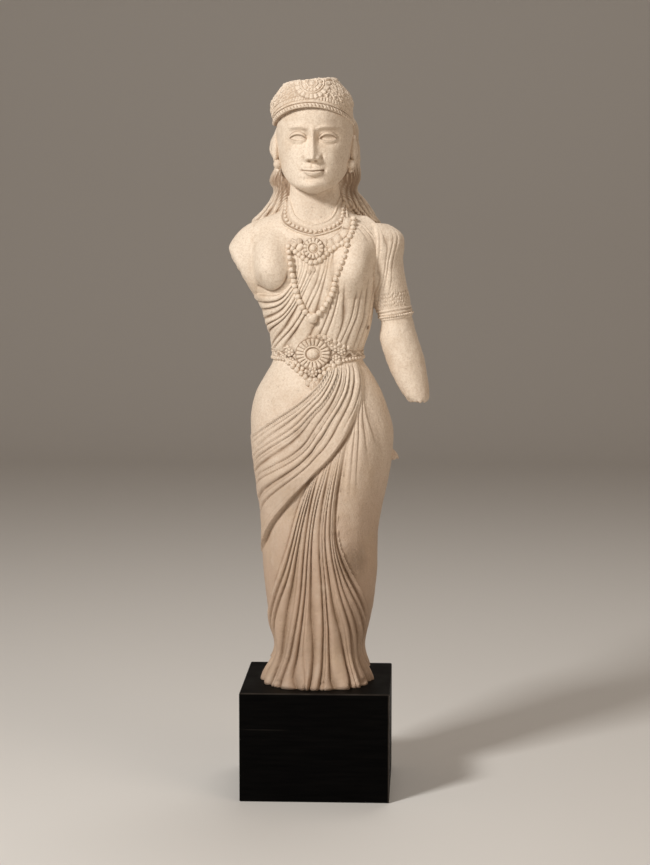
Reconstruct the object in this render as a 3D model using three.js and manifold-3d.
// A broken marble figure of a goddess in a draped sari, standing on a black wooden plinth.
// Millimetres, +Z up. The figure faces -Y and its own left side is +X. The origin is the centre
// of the plinth's underside.
import * as THREE from "three";
import { mergeVertices } from "three/addons/utils/BufferGeometryUtils.js";
import Module from "manifold-3d";

const wasm = await Module();
wasm.setup();

// Driving sizes, in millimetres
const FIGURE_HEIGHT = 672;
const PLINTH_HEIGHT = 122;
const PLINTH_ARRIS = 1.2;
const LEDGE_SIDE = 19.5;
const LEDGE_FRONT = 19.5;
const LEDGE_BACK = 42.5;

// The figure's pose, proportions and carving are shares of its own height. A part is one 672nd
// of the height, and every figure below is in parts unless it says otherwise.
const PART = FIGURE_HEIGHT / 672;

// How far carving stands out of the body, in parts
const SWAG_RELIEF = 4.2;
const CHEST_RELIEF = 2.6;
const PLEAT_RELIEF = 3.8;
const THIGH_RELIEF = 1.8;
const SLEEVE_RELIEF = 2.2;
const HAIR_RELIEF = 3.4;
const BELT_RELIEF = 3.4;
const COLLAR_RELIEF = 3.2;
const ARMLET_RELIEF = 2.2;
const SINK = 3;
const CREST_SHIFT = 0.3;

const { sin, cos, abs, sign, hypot, PI, min, max } = Math;
const degrees = (angle) => (angle * PI) / 180;
const mix = (a, b, t) => a + (b - a) * t;
const ease = (t) => t * t * (3 - 2 * t);
const clamp01 = (t) => min(1, max(0, t));

// Turns three.js geometry into a solid, after its doubled corners are merged. Geometry that was
// mapped the mirrored way round has its faces turned outward.
function solid(geometry) {
  const bare = geometry.clone();
  bare.deleteAttribute("normal");
  bare.deleteAttribute("uv");
  const merged = mergeVertices(bare, 1e-4);
  const build = (triVerts) =>
    new wasm.Manifold(
      new wasm.Mesh({ numProp: 3, vertProperties: merged.attributes.position.array, triVerts }),
    );
  const faces = new Uint32Array(merged.index.array);
  const made = build(faces);
  return made.volume() > 0 ? made : build(faces.reverse());
}

// A closed solid of rings: place(angle, t) gives the ring's point in parts, with angle 0 at the
// front, a quarter turn at +X, and t running from the lowest ring (0) to the highest (1).
function loft(columns, rows, place) {
  const geometry = new THREE.CylinderGeometry(1, 1, 1, columns, rows);
  const position = geometry.attributes.position;
  for (let i = 0; i < position.count; i++) {
    const [x, y, z] = [position.getX(i), position.getY(i), position.getZ(i)];
    const t = y + 0.5;
    const point = new THREE.Vector3();
    if (hypot(x, z) > 0.5) {
      const step = (2 * PI) / columns;
      point.copy(place((Math.round(Math.atan2(x, z) / step) * step + 2 * PI) % (2 * PI), t));
    } else {
      for (let k = 0; k < columns; k++) {
        point.addScaledVector(place((k * 2 * PI) / columns, t), 1 / columns);
      }
    }
    point.multiplyScalar(PART);
    position.setXYZ(i, point.x, point.y, point.z);
  }
  return solid(geometry);
}

// A ball-like solid: a three.js geometry of radius 1, stretched to radii and moved to a centre.
function blob(geometry, radii, centre, turn = new THREE.Euler()) {
  const shaped = geometry.clone();
  shaped.scale(radii[0] * PART, radii[1] * PART, radii[2] * PART);
  shaped.applyMatrix4(new THREE.Matrix4().makeRotationFromEuler(turn));
  shaped.translate(centre[0] * PART, centre[1] * PART, centre[2] * PART);
  return solid(shaped);
}

// Values between a table's rows, on a smooth curve; column 0 of the table is the height.
function between(table, column, height) {
  const last = table.length - 1;
  let i = 0;
  while (i < last - 1 && height > table[i + 1][0]) i++;
  const slope = (k) => {
    const [a, b] = [table[max(0, k - 1)], table[min(last, k + 1)]];
    return (b[column] - a[column]) / (b[0] - a[0]);
  };
  const span = table[i + 1][0] - table[i][0];
  const t = clamp01((height - table[i][0]) / span);
  return (
    (1 + 2 * t) * (1 - t) ** 2 * table[i][column] +
    t * (1 - t) ** 2 * span * slope(i) +
    t * t * (3 - 2 * t) * table[i + 1][column] +
    t * t * (t - 1) * span * slope(i + 1)
  );
}

// Body: height, centre, half width, front depth, back depth, from the hem to inside the head
const BODY = [
  [0, 0, 63, 63, 40],
  [9, 0, 59, 58, 38],
  [20, 0.2, 54.5, 54, 36],
  [32, 0.8, 51.7, 50.5, 35],
  [45, 1.3, 52.2, 49.5, 36],
  [66, 2.5, 56.3, 49.5, 39],
  [89, 3, 60, 50, 42],
  [123, 3, 63.7, 52, 44],
  [146, 2.6, 64.6, 53, 44],
  [169, 2.8, 64.8, 54, 44],
  [192, 3.8, 67.6, 55, 47],
  [214, 4.6, 71.6, 56, 52],
  [237, 5.2, 75.6, 56, 57],
  [259, 5.4, 78.4, 55, 60],
  [282, 5, 79.6, 53, 60],
  [304, 2.6, 76.6, 50, 56],
  [327, 1.4, 69.3, 47, 48],
  [349, 1.4, 56.8, 42, 38],
  [362, 0.5, 49.6, 38.5, 33],
  [375, 0, 49.8, 38, 31],
  [390, 1.5, 53.6, 40, 32],
  [405, 0.5, 58, 42, 34],
  [427, -1, 62, 45, 37],
  [450, -3, 68, 45, 39],
  [470, -3, 72, 43, 40],
  [490, -3, 76, 38, 38],
  [505, -3, 70, 32, 34],
  [514, -3, 58, 28, 31],
  [522, -3, 44, 26, 28],
  [530, -3, 34, 25.5, 26],
  [540, -3, 29, 25, 24],
  [555, -3, 27.5, 25, 23],
  [580, -3, 27.5, 25, 23],
];
const BODY_COLUMNS = 24;
const SQUARENESS = 2.2;

// The heights at which the body's rings lie, closer together where it curves more
const BODY_ROWS = [
  0, 9, 20, 32, 45, 66, 89, 123, 158, 192, 225, 259, 292, 318, 338, 352, 364, 377, 394, 414, 434,
  452, 470, 487, 501, 511, 520, 531, 548, 580,
];

// Rounded masses of the flesh under the cloth. Each lies at x as the front shows it (or on the
// back), and reaches so far across, above and below before it dies away.
const MOUNDS = [
  { x: -49, height: 466, across: 28, above: 40, below: 28, rise: 17 },
  { x: 43, height: 464, across: 28, above: 42, below: 31, rise: 16 },
  { x: 38, height: 210, across: 40, above: 110, below: 150, rise: 7 },
  { x: -36, height: 225, across: 38, above: 90, below: 150, rise: 6 },
  { x: -3, height: 322, across: 40, above: 36, below: 60, rise: 4 },
  { x: 30, height: 284, across: 38, above: 62, below: 60, rise: 7, back: true },
  { x: -30, height: 284, across: 38, above: 62, below: 60, rise: 7, back: true },
  { x: 32, height: 470, across: 30, above: 30, below: 50, rise: 5, back: true },
  { x: -36, height: 470, across: 30, above: 30, below: 50, rise: 5, back: true },
];

// The plain body at an angle from the front, a rounded-off ellipse at each height
function plainPoint(angle, height) {
  const halfWidth = between(BODY, 2, height);
  const depth = between(BODY, cos(angle) > 0 ? 3 : 4, height);
  const power = 2 / SQUARENESS;
  return new THREE.Vector3(
    between(BODY, 1, height) + halfWidth * sign(sin(angle)) * abs(sin(angle)) ** power,
    -depth * sign(cos(angle)) * abs(cos(angle)) ** power,
    height,
  );
}

// The outward direction of a surface, from two short steps along it
function outward(surface, angle, height) {
  const step = 0.02;
  const across = surface(angle + step, height).sub(surface(angle - step, height));
  const up = surface(angle, height + 1).sub(surface(angle, height - 1));
  return across.cross(up).normalize();
}

// The body's smooth surface under the carving: the plain body with its rounded masses
function bodyPoint(angle, height) {
  let rise = 0;
  for (const mound of MOUNDS) {
    const middle = mound.back ? PI - angleAt(mound.x, mound.height) : angleAt(mound.x, mound.height);
    const turn = Math.atan2(sin(angle - middle), cos(angle - middle));
    const across = (turn * between(BODY, 2, mound.height)) / mound.across;
    const drop = height - mound.height;
    const along = drop / (drop > 0 ? mound.above : mound.below);
    rise += mound.rise * max(0, 1 - across ** 2 - along ** 2) ** 1.1;
  }
  const point = plainPoint(angle, height);
  if (rise === 0) return point;
  const direction = outward(plainPoint, angle, height);
  direction.y += cos(angle) > 0 ? -0.8 : 0.4;
  return point.addScaledVector(direction.normalize(), rise);
}

// The angle round the body at which its front shows x at that height.
function angleAt(x, height) {
  const share = (x - between(BODY, 1, height)) / between(BODY, 2, height);
  return sign(share) * Math.asin(min(1, abs(share) ** (SQUARENESS / 2)));
}

function bodySolid() {
  const rows = BODY_ROWS.length - 1;
  return loft(BODY_COLUMNS, rows, (angle, t) => bodyPoint(angle, BODY_ROWS[Math.round(t * rows)]));
}

// A place lifted off a surface
function lifted(surface, angle, height, lift) {
  return surface(angle, height).addScaledVector(outward(surface, angle, height), lift);
}

// A sheet of folds lies across a few lines that run along its folds, from the first fold to the
// last. A place on a line is [x, height] as the front shows it, or [degrees, height, "round"].
function foldSheet(lines) {
  const through = (points) => new THREE.CatmullRomCurve3(points, false, "catmullrom");
  const curves = lines.map((line) =>
    through(
      line.map(([x, height, round]) => {
        const angle = round ? degrees(x) : angleAt(x, height);
        return new THREE.Vector3(angle, height, 0);
      }),
    ),
  );
  return (u, t) => {
    const place = through(curves.map((curve) => curve.getPoint(t))).getPoint(u);
    return { angle: place.x, height: max(0, place.y) };
  };
}

// The cloth of a sheet as one closed solid. Each fold climbs from a valley to a round crest and
// falls off steeply on its far side. The cloth's back is sunk in the surface. ends is the share
// of the length over which the folds rise from nothing, hems lifts the sheet's own four edges,
// grow above 1 makes each fold wider than the one before, and raise scales the lift along t.
function clothOf(sheet, folds, options) {
  const { relief, valley = 1, steps = 7, ends = [0.2, 0.2], hems = {}, grow = 1 } = options;
  const { first = -1, last = -1, start = -1, end = -1 } = hems;
  const surface = options.surface ?? bodyPoint;
  const raise = options.raise ?? (() => 1);
  const geometry = new THREE.BoxGeometry(folds * 2, steps, 1, folds * 2, steps, 1);
  const position = geometry.attributes.position;
  for (let i = 0; i < position.count; i++) {
    const column = Math.round(position.getX(i) + folds);
    const row = Math.round(position.getY(i) + steps / 2);
    const crest = column % 2 === 1;
    const t = row / steps;
    const u = ((column + (crest ? CREST_SHIFT : 0)) / (2 * folds)) ** grow;
    const place = sheet(u, t);
    let lift = -SINK;
    if (position.getZ(i) > 0) {
      const swell = min(ease(clamp01(t / ends[0])), ease(clamp01((1 - t) / ends[1])));
      lift = (valley + (crest ? relief * swell : 0)) * raise(t);
      if (row === 0) lift = start;
      if (row === steps) lift = end;
      if (column === 0) lift = first;
      if (column === 2 * folds) lift = last;
    }
    const point = lifted(surface, place.angle, place.height, lift);
    if (place.height < 0.01) point.z = 0;
    point.multiplyScalar(PART);
    position.setXYZ(i, point.x, point.y, point.z);
  }
  return solid(geometry);
}

// The swag is the sari's free end, drawn across the right hip.
function swag() {
  const sheet = foldSheet([
    [[19, 352], [-4, 330], [-36, 306], [-68, 283], [-130, 268, "round"]],
    [[26, 356], [2, 314], [-32, 280], [-69, 249], [-130, 232, "round"]],
    [[34, 357], [16, 300], [-22, 250], [-66, 212], [-125, 192, "round"]],
    [[47, 357], [41, 296], [-4, 236], [-57, 160], [-120, 128, "round"]],
  ]);
  const hems = { first: 1.2, last: 3, start: 0.5, end: -1 };
  const shape = { relief: SWAG_RELIEF, valley: 1.6, steps: 8, ends: [0.12, 0.3], grow: 1.15 };
  return clothOf(sheet, 10, { ...shape, hems });
}

// The pleats fall from under the swag and fan out to the hem.
function pleats() {
  const sheet = foldSheet([
    [[14, 276], [-17, 205], [-36, 140], [-53, 84], [-96, 48, "round"]],
    [[18, 283], [-8, 195], [-22, 100], [-36, 30], [-47, 0]],
    [[24, 290], [3, 192], [1, 96], [0, 28], [-1, 0]],
    [[29, 298], [14, 195], [22, 100], [36, 30], [46, 0]],
    [[34, 306], [23, 205], [31, 136], [54, 72], [96, 34, "round"]],
  ]);
  const hems = { end: 1.5 };
  return clothOf(sheet, 12, { relief: PLEAT_RELIEF, steps: 9, ends: [0.15, 0.001], hems });
}

// The cloth is tight over the left thigh, with a few shallow folds below the hip.
function thighFolds() {
  const sheet = foldSheet([
    [[46, 332], [38, 285], [31, 234], [29, 190]],
    [[48, 332], [46, 292], [45, 243], [45, 200]],
    [[50, 332], [57, 300], [64, 280], [72, 262]],
  ]);
  return clothOf(sheet, 4, { relief: THIGH_RELIEF, valley: 0.9, steps: 6, ends: [0.2, 0.6] });
}

// Over the chest the cloth runs from the left shoulder, between and over the breasts, to the
// right side and down to the belt. It leaves the right breast bare.
function chestFolds() {
  const sheet = foldSheet([
    [[-25, 482], [-22, 462], [-28, 446], [-44, 435], [-66, 437], [-100, 442, "round"]],
    [[-12, 487], [-12, 462], [-23, 437], [-41, 416], [-60, 408], [-100, 412, "round"]],
    [[2, 491], [0, 462], [-14, 432], [-31, 404], [-46, 386], [-90, 374, "round"]],
    [[15, 495], [14, 465], [8, 436], [-2, 408], [-12, 386], [-18, 370]],
    [[27, 501], [32, 470], [33, 440], [29, 412], [20, 386], [14, 370]],
    [[40, 507], [51, 478], [55, 446], [51, 415], [43, 390], [38, 370]],
    [[50, 511], [64, 482], [67, 446], [61, 415], [55, 390], [50, 370]],
  ]);
  const hems = { first: 0.8, last: 0.8, start: 0.5, end: 0.5 };
  return clothOf(sheet, 12, { relief: CHEST_RELIEF, steps: 8, ends: [0.2, 0.15], hems });
}

// The bare right breast, round and smooth
function rightBreast() {
  return blob(new THREE.SphereGeometry(1, 12, 8), [27, 30, 31], [-48, -23, 467]);
}

// Head: height, half width, front and back of each ring, from the chin to the crown of the skull
const HEAD_CENTRE_X = -3;
const HEAD = [
  [545, 5, -40, -27],
  [552, 21, -47, -6],
  [559, 29, -48, 12],
  [568, 35, -47.5, 30],
  [580, 39, -46.5, 38],
  [606, 42.3, -46, 44],
  [622, 41.6, -47.5, 45],
  [652, 32, -36, 36],
];
const HEAD_COLUMNS = 18;

function headPoint(angle, height) {
  const [front, back] = [between(HEAD, 2, height), between(HEAD, 3, height)];
  return new THREE.Vector3(
    HEAD_CENTRE_X + between(HEAD, 1, height) * sin(angle),
    mix(back, front, (1 + cos(angle)) / 2),
    height,
  );
}

// A calm, general face: from hairline to chin in three equal parts, the brow at the first and the
// foot of the nose at the second, the eyes one eye's width apart.
const CHIN = 547;
const FACE_HEIGHT = 100;
const BROW = CHIN + (FACE_HEIGHT * 2) / 3;
const NOSE_FOOT = CHIN + FACE_HEIGHT / 3;
const MOUTH = CHIN + (FACE_HEIGHT * 2) / 9;
const EYES = BROW - 8;
const EYE_WIDTH = 16.5;

function nose() {
  return loft(8, 4, (angle, t) => {
    const height = mix(NOSE_FOOT - 1, BROW, t);
    const reach = t === 0 ? 8 : mix(13, 1.5, ease(t));
    const halfWidth = t < 0.3 ? 7.6 - 8 * t : mix(5.4, 3.6, t);
    const forward = cos(angle) > 0 ? reach * cos(angle) : 6 * cos(angle);
    return new THREE.Vector3(HEAD_CENTRE_X + halfWidth * sin(angle), -43 - forward, height);
  });
}

function head() {
  const rows = HEAD.length - 1;
  const skull = loft(HEAD_COLUMNS, rows, (angle, t) =>
    headPoint(angle, HEAD[Math.round(t * rows)][0]),
  );
  const ball = new THREE.SphereGeometry(1, 8, 4);
  const bead = new THREE.OctahedronGeometry(1, 0);
  const sides = [-1, 1];
  const sockets = sides.map((side) =>
    blob(ball, [10.5, 6, 6.5], [HEAD_CENTRE_X + side * EYE_WIDTH, -46, EYES]),
  );
  const eyes = sides.map((side) =>
    blob(ball, [EYE_WIDTH / 2, 5, 4], [HEAD_CENTRE_X + side * EYE_WIDTH, -39, EYES - 0.5]),
  );
  const lips = [
    blob(ball, [10.5, 4, 2.2], [HEAD_CENTRE_X, -46.5, MOUTH + 2]),
    blob(ball, [9, 4.2, 2.6], [HEAD_CENTRE_X, -46.5, MOUTH - 2.2]),
  ];
  const chin = blob(ball, [11, 7, 8], [HEAD_CENTRE_X, -42.5, CHIN + 9]);
  const ears = sides.map((side) => blob(ball, [4, 8, 15], [HEAD_CENTRE_X + side * 43, -4, 594]));
  const earrings = sides.map((side) =>
    blob(bead, [6, 6, 6.5], [HEAD_CENTRE_X + side * 39.5, -12, 577]),
  );
  const cut = sockets.reduce((made, socket) => made.subtract(socket), skull);
  return [cut, nose(), ...eyes, ...lips, chin, ...ears, ...earrings];
}

// Crown: height, centre, half width, front and back. Its rim arches over the brow, and its top is
// broken off along a slant.
const CROWN = [
  [612, -4, 42.4, -43, 50],
  [626, -5, 43, -50, 52],
  [636, -6, 43.8, -51.5, 53],
  [643, -5.8, 44.2, -50, 52],
  [652, -4.5, 40, -46, 48],
  [660, -5, 33.6, -40, 42],
  [667, -5.4, 27.6, -34, 36],
  [678, -5, 20, -28, 30],
];
const RIM_MIDDLE = 637;
const RIM_SIDE = 619;
const RIM_RISE = 2.4;
const RIM_WIDTH = 8;
const BREAK_HEIGHT = 669;
const BREAK_SLOPE = 0.116;

function crownPoint(angle, height) {
  const [front, back] = [between(CROWN, 3, height), between(CROWN, 4, height)];
  return new THREE.Vector3(
    between(CROWN, 1, height) + between(CROWN, 2, height) * sin(angle),
    mix(back, front, (1 + cos(angle)) / 2),
    height,
  );
}

function rimHeight(angle) {
  return mix(RIM_SIDE, RIM_MIDDLE, max(0, cos(angle)) ** 1.4);
}

function crown() {
  const top = CROWN[CROWN.length - 1][0];
  const cap = loft(HEAD_COLUMNS, 4, (angle, t) => crownPoint(angle, mix(rimHeight(angle), top, t)));
  const rim = loft(HEAD_COLUMNS, 2, (angle, t) =>
    lifted(crownPoint, angle, rimHeight(angle) + RIM_WIDTH * t, t === 0.5 ? RIM_RISE : 0.4),
  );
  const fan = [
    setOn(crownPoint, flower(19, 8, 4), 0, 661, 0.5),
    setOn(crownPoint, flower(10, 6, 4), 0, 663, 2.5),
  ];
  const block = new THREE.BoxGeometry(200, 200, 40);
  const turn = new THREE.Euler(0, -Math.atan(BREAK_SLOPE), 0);
  const missing = blob(block, [1, 1, 1], [0, 0, BREAK_HEIGHT + 20], turn);
  return [cap, rim, ...fan].map((piece) => piece.subtract(missing));
}

// Hair: height, centre, half width, front and back of each ring, from the tip on the back to the
// crown's rim. It is dressed back from the face and lies on both shoulders.
const HAIR = [
  [428, -3, 16, 26, 42],
  [445, -3, 34, 24, 48],
  [475, -3, 49, 19, 50],
  [505, -3, 69, 8, 49],
  [513, -2, 72, 4, 48],
  [519, -2, 67, 1, 47],
  [528, -2.5, 60, -3, 46],
  [538, -2.5, 53, -6, 45],
  [549, -2.5, 47, -9, 45],
  [560, -2.5, 50, -12, 46],
  [576, -2.5, 47, -12, 47],
  [593, -3, 50, -12, 49],
  [606, -3, 47.5, -10, 50],
  [622, -3, 44, -4, 50],
  [632, -3, 40, 4, 48],
];
const HAIR_COLUMNS = 22;

function hairPoint(angle, height) {
  const power = 0.8;
  const across = sign(sin(angle)) * abs(sin(angle)) ** power;
  const along = sign(cos(angle)) * abs(cos(angle)) ** power;
  return new THREE.Vector3(
    between(HAIR, 1, height) + between(HAIR, 2, height) * across,
    mix(between(HAIR, 4, height), between(HAIR, 3, height), (1 + along) / 2),
    height,
  );
}

// The strands are ridges that run the length of the hair.
function hair() {
  const rows = HAIR.length - 1;
  return loft(HAIR_COLUMNS, rows, (angle, t) => {
    const valley = Math.round((angle * HAIR_COLUMNS) / (2 * PI)) % 2;
    const height = HAIR[Math.round(t * rows)][0];
    const inside = hairPoint(angle, height);
    const [middle, depth] = [between(HAIR, 1, height), between(HAIR, 4, height)];
    const inward = new THREE.Vector3(middle - inside.x, depth / 2 - inside.y, 0).normalize();
    return inside.addScaledVector(inward, valley * HAIR_RELIEF);
  });
}

// Left arm: height, centre x, centre y, half width, half depth, from the break to the shoulder
const ARM = [
  [316, 112.4, -12, 10, 14],
  [320, 111.2, -11, 13.2, 16.5],
  [330, 107.8, -9, 16.5, 19],
  [345, 102.5, -6, 19.5, 21],
  [362, 97.5, -3, 21.5, 22],
  [385, 90.5, 0, 21.3, 21.5],
  [405, 88.2, 2, 17.8, 21],
  [428, 81, 3, 20.5, 23],
  [450, 76.5, 3, 20.5, 25],
  [470, 72.5, 3, 21.5, 26],
  [486, 70, 3, 24.5, 25],
  [496, 68, 3, 26, 20],
  [503, 64.5, 3, 24, 15],
  [509, 59, 3, 18, 10],
];
const ARM_COLUMNS = 14;
const ARM_BREAK_SLANT = 1;

function armPoint(angle, height) {
  return new THREE.Vector3(
    between(ARM, 1, height) + between(ARM, 3, height) * sin(angle),
    between(ARM, 2, height) - between(ARM, 4, height) * cos(angle),
    height,
  );
}

// The armlet is a band round the upper arm, higher on the outside.
const ARMLET_HEIGHT = 413;
const ARMLET_WIDTH = 12;
const ARMLET_RISE = 3;

function arm() {
  const rows = ARM.length - 1;
  const limb = loft(ARM_COLUMNS, rows, (angle, t) => {
    const point = armPoint(angle, ARM[Math.round(t * rows)][0]);
    if (t === 0) point.z -= ARM_BREAK_SLANT * sin(angle);
    return point;
  });
  const armlet = loft(ARM_COLUMNS, 1, (angle, t) => {
    const height = ARMLET_HEIGHT + ARMLET_RISE * sin(angle) + ARMLET_WIDTH * (t - 0.5);
    return lifted(armPoint, angle, height, ARMLET_RELIEF);
  });
  const sleeve = foldSheet([
    [[-60, 502, "round"], [-55, 478, "round"], [-48, 452, "round"], [-50, 428, "round"]],
    [[0, 504, "round"], [-2, 478, "round"], [-8, 452, "round"], [-20, 428, "round"]],
    [[80, 502, "round"], [60, 478, "round"], [40, 452, "round"], [20, 428, "round"]],
  ]);
  const folds = { relief: SLEEVE_RELIEF, valley: 0.8, steps: 6, surface: armPoint };
  return [limb, armlet, clothOf(sleeve, 4, folds)];
}

// Right arm: a short stump from the shoulder, broken off along a slanted face
function stump() {
  const ball = new THREE.SphereGeometry(1, 14, 8);
  const limb = blob(ball, [33, 27, 46], [-70, 3, 470], new THREE.Euler(0, degrees(28), 0));
  const block = new THREE.BoxGeometry(80, 160, 160);
  block.translate(-40, 0, 0);
  const missing = blob(block, [1, 1, 1], [-83, 0, 456.5], new THREE.Euler(0, degrees(-33), 0));
  return limb.subtract(missing);
}

// Places a geometry that lies flat at the origin, facing +Z, on a surface.
function setOn(surface, geometry, angle, height, lift, turn = 0) {
  const normal = outward(surface, angle, height);
  const side = new THREE.Vector3(0, 0, 1).cross(normal).normalize();
  const up = normal.clone().cross(side);
  const placed = geometry.clone();
  placed.rotateZ(turn);
  placed.applyMatrix4(new THREE.Matrix4().makeBasis(side, up, normal));
  const point = lifted(surface, angle, height, lift);
  placed.translate(point.x, point.y, point.z);
  placed.scale(PART, PART, PART);
  return solid(placed);
}

// The same on the body's front, at x as the front shows it
function setOnBody(geometry, x, height, lift, turn = 0) {
  return setOn(bodyPoint, geometry, angleAt(x, height), height, lift, turn);
}

// A flat flower whose rim runs in and out once for each petal
function flower(radius, petals, thick) {
  const geometry = new THREE.CylinderGeometry(1, 1, thick, petals * 2, 1);
  geometry.rotateX(PI / 2);
  const position = geometry.attributes.position;
  for (let i = 0; i < position.count; i++) {
    const [x, y] = [position.getX(i), position.getY(i)];
    const outer = Math.round((Math.atan2(x, y) * petals) / PI) % 2 === 0 ? 1 : 0.84;
    position.setXY(i, x * radius * outer, y * radius * outer);
  }
  return geometry;
}

// Belt: a band round the waist that widens to a lozenge in front, with a rosette, two lesser
// bosses, and a pendant on two short chains
const BELT_FOOT = 362;
const BELT_HEAD = 376;
const LOZENGE_DROP = 9;
const LOZENGE_RISE = 15;
const ROSETTE_X = -3;
const ROSETTE_HEIGHT = 370;
const ROSETTE_RADIUS = 18;

function belt() {
  const band = loft(BODY_COLUMNS, 2, (angle, t) => {
    const middle = max(0, cos(angle)) ** 8;
    const [foot, rim] = [BELT_FOOT - LOZENGE_DROP * middle, BELT_HEAD + LOZENGE_RISE * middle];
    return lifted(bodyPoint, angle, mix(foot, rim, t), BELT_RELIEF * (t === 0.5 ? 1 : 0.7));
  });
  const ball = new THREE.SphereGeometry(1, 8, 4);
  const bud = new THREE.SphereGeometry(1, 6, 4);
  const leaf = new THREE.OctahedronGeometry(1, 0);
  const sides = [-1, 1];
  return [
    band,
    setOnBody(flower(ROSETTE_RADIUS, 12, 5), ROSETTE_X, ROSETTE_HEIGHT, BELT_RELIEF + 1),
    setOnBody(ball.clone().scale(7, 7, 4), ROSETTE_X, ROSETTE_HEIGHT, BELT_RELIEF + 4.5),
    setOnBody(bud.clone().scale(7, 6, 4), ROSETTE_X, 344, 2),
    setOnBody(leaf.clone().scale(6, 8, 3.5), ROSETTE_X, 333, 1.5),
    ...sides.map((side) =>
      setOnBody(bud.clone().scale(13, 3.5, 3.2), ROSETTE_X + side * 15, 348, 1.5, side * 0.6),
    ),
    ...sides.map((side) =>
      setOnBody(bud.clone().scale(7, 6, 3), ROSETTE_X + side * 26, 369.5, BELT_RELIEF),
    ),
  ];
}

// Necklaces: a collar close round the neck, a garland with a rosette below it, and a long string
// of beads that hangs in a curve between the breasts
const COLLAR_FOOT = 503;
const COLLAR_RISE = 31;
const COLLAR_WIDTH = 7;
const STRING_X = -2;
const STRING_FOOT = 407;
const STRING_RISE = 86;
const STRING_HALF_WIDTH = 31;
const BEAD_COUNT = 18;
const BEAD_WIDTH = 6.4;

// The string is a narrow ribbon of the surface, raised and widened at each bead.
function beadString() {
  const middle = new THREE.CatmullRomCurve3(
    Array.from({ length: 13 }, (_, k) => {
      const share = k / 6 - 1;
      const height = STRING_FOOT + STRING_RISE * abs(share) ** 2.2;
      return new THREE.Vector3(STRING_X + STRING_HALF_WIDTH * share, height, 0);
    }),
  );
  const sheet = (u, t) => {
    const point = middle.getPointAt(t);
    const along = middle.getTangentAt(t);
    const narrow = Math.round(t * 2 * BEAD_COUNT) % 2 ? 1 : 0.45;
    const aside = (u - 0.5) * BEAD_WIDTH * narrow;
    const height = point.y + aside * along.x;
    return { angle: angleAt(point.x - aside * along.y, height), height };
  };
  const raise = (t) => (Math.round(t * 2 * BEAD_COUNT) % 2 ? 1 : 0.35);
  return clothOf(sheet, 1, { relief: 4, valley: 3.2, steps: 2 * BEAD_COUNT, raise, grow: 1 });
}

function necklaces() {
  const collar = loft(BODY_COLUMNS, 1, (angle, t) => {
    const rise = cos(angle) > 0 ? abs(sin(angle)) ** 1.3 : 1;
    const height = COLLAR_FOOT + COLLAR_RISE * rise + COLLAR_WIDTH * (t - 0.5);
    return lifted(bodyPoint, angle, height, COLLAR_RELIEF);
  });
  const garland = foldSheet([
    [[-29, 524], [-34, 500], [-20, 492], [-4, 490], [12, 488], [27, 500], [34, 526]],
    [[-33, 522], [-38, 497], [-21, 488], [-4, 485], [13, 484], [31, 497], [39, 524]],
    [[-37, 520], [-42, 494], [-22, 483], [-4, 480], [14, 479], [35, 493], [44, 521]],
  ]);
  const ball = new THREE.SphereGeometry(1, 8, 4);
  const leaf = new THREE.OctahedronGeometry(1, 0);
  return [
    collar,
    clothOf(garland, 1, { relief: 2.6, valley: 1.5, steps: 10, ends: [0.05, 0.05] }),
    setOnBody(flower(11, 9, 5), -4, 487, 3),
    setOnBody(ball.clone().scale(5, 5, 3.5), -4, 487, 5.5),
    setOnBody(leaf.clone().scale(6, 9, 4), -5, 470, 2.5),
    beadString(),
  ];
}

// A broken remnant at the left hip, where something once touched the figure
function hipRemnant() {
  const cone = new THREE.CylinderGeometry(0.25, 1, 1, 6, 1);
  return blob(cone, [9, 16, 11], [84, -2, 252], new THREE.Euler(0, 0, -PI / 2));
}

function figureSolid() {
  return wasm.Manifold.union([
    bodySolid(),
    swag(),
    pleats(),
    thighFolds(),
    chestFolds(),
    rightBreast(),
    ...head(),
    ...crown(),
    hair(),
    ...arm(),
    stump(),
    ...belt(),
    ...necklaces(),
    hipRemnant(),
  ]);
}

// The smallest detail kept: corners closer than this become one.
const WELD = 0.01;

// The faces that hang together edge to edge in the largest group. The other groups are the walls
// of small sealed pockets between the pieces, which are filled by leaving them out.
function outerShell(faces) {
  const edges = new Map();
  const edgesOf = (face) =>
    face.map((corner, k) => {
      const next = face[(k + 1) % 3];
      return min(corner, next) + "," + max(corner, next);
    });
  faces.forEach((face, f) => {
    for (const edge of edgesOf(face)) {
      if (!edges.has(edge)) edges.set(edge, []);
      edges.get(edge).push(f);
    }
  });
  const seen = new Set();
  let shell = [];
  for (let first = 0; first < faces.length; first++) {
    if (seen.has(first)) continue;
    seen.add(first);
    const group = [first];
    for (let i = 0; i < group.length; i++) {
      for (const edge of edgesOf(faces[group[i]])) {
        for (const f of edges.get(edge)) {
          if (!seen.has(f)) {
            seen.add(f);
            group.push(f);
          }
        }
      }
    }
    if (group.length > shell.length) shell = group;
  }
  return shell.map((f) => faces[f]);
}

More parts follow.
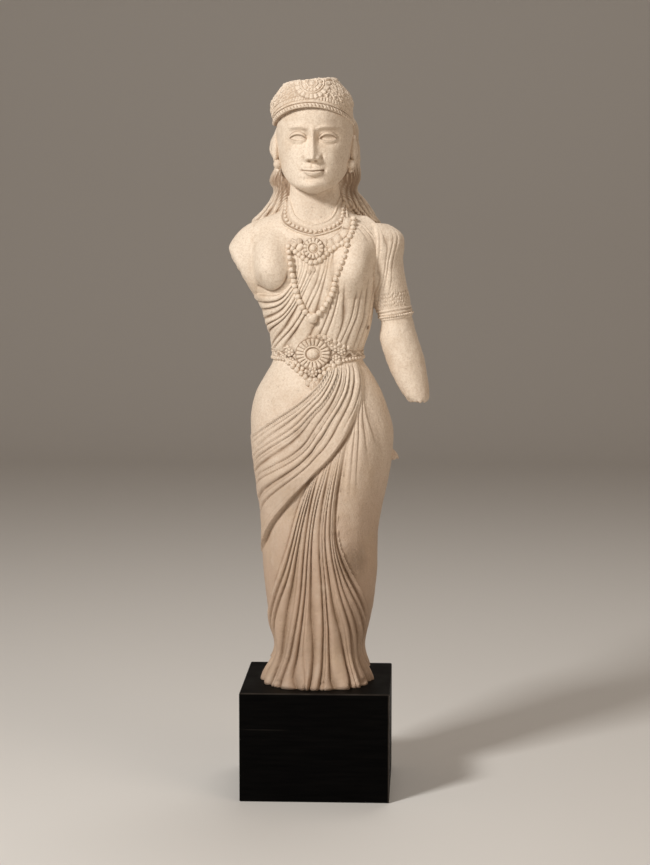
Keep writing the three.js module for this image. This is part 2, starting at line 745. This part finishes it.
// A mesh of a solid. Cutting and joining leaves slivers, which are welded away: their corners
// go to one place, and two faces that then lie back to back are both left out.
function meshOf(made, name, material) {
  const { numProp, vertProperties, triVerts } = made.getMesh();
  const places = new Map();
  const corners = [];
  const indexOf = (i) => {
    const at = [0, 1, 2].map((k) => Math.round(vertProperties[i * numProp + k] / WELD));
    const key = at.join();
    if (!places.has(key)) {
      places.set(key, corners.length / 3);
      corners.push(...at.map((value) => value * WELD));
    }
    return places.get(key);
  };
  const faces = new Map();
  for (let i = 0; i < triVerts.length; i += 3) {
    const face = [indexOf(triVerts[i]), indexOf(triVerts[i + 1]), indexOf(triVerts[i + 2])];
    if (new Set(face).size < 3) continue;
    const key = [...face].sort((a, b) => a - b).join();
    if (faces.has(key)) {
      faces.delete(key);
    } else {
      faces.set(key, face);
    }
  }
  const geometry = new THREE.BufferGeometry();
  geometry.setAttribute("position", new THREE.Float32BufferAttribute(corners, 3));
  geometry.setIndex(outerShell([...faces.values()]).flat());
  geometry.computeVertexNormals();
  const mesh = new THREE.Mesh(geometry, material);
  mesh.name = name;
  return mesh;
}

// Plinth: a plain block under the hem with a ledge round it, its arrises taken off
function plinthGeometry() {
  const [, , halfWidth, front, back] = BODY[0];
  const width = 2 * (halfWidth * PART + LEDGE_SIDE);
  const depth = (front + back) * PART + LEDGE_FRONT + LEDGE_BACK;
  const outline = new THREE.Shape();
  const [x, y] = [width / 2 - PLINTH_ARRIS, depth / 2 - PLINTH_ARRIS];
  outline.moveTo(-x, -y).lineTo(x, -y).lineTo(x, y).lineTo(-x, y).closePath();
  const geometry = new THREE.ExtrudeGeometry(outline, {
    depth: PLINTH_HEIGHT - 2 * PLINTH_ARRIS,
    bevelThickness: PLINTH_ARRIS,
    bevelSize: PLINTH_ARRIS,
    bevelSegments: 1,
  });
  geometry.translate(0, 0, PLINTH_ARRIS);
  return { geometry, depth, front: front * PART };
}

const marble = new THREE.MeshStandardMaterial({ color: 0xe6d7c1, roughness: 0.72, metalness: 0 });
const blackWood = new THREE.MeshStandardMaterial({ color: 0x0b0a0a, roughness: 0.38, metalness: 0 });

const object = new THREE.Group();
const plinth = plinthGeometry();
const block = new THREE.Mesh(plinth.geometry, blackWood);
block.name = "plinth";
object.add(block);

const figure = meshOf(figureSolid(), "marble_figure", marble);
figure.position.set(0, -plinth.depth / 2 + LEDGE_FRONT + plinth.front, PLINTH_HEIGHT);
object.add(figure);

export default object;
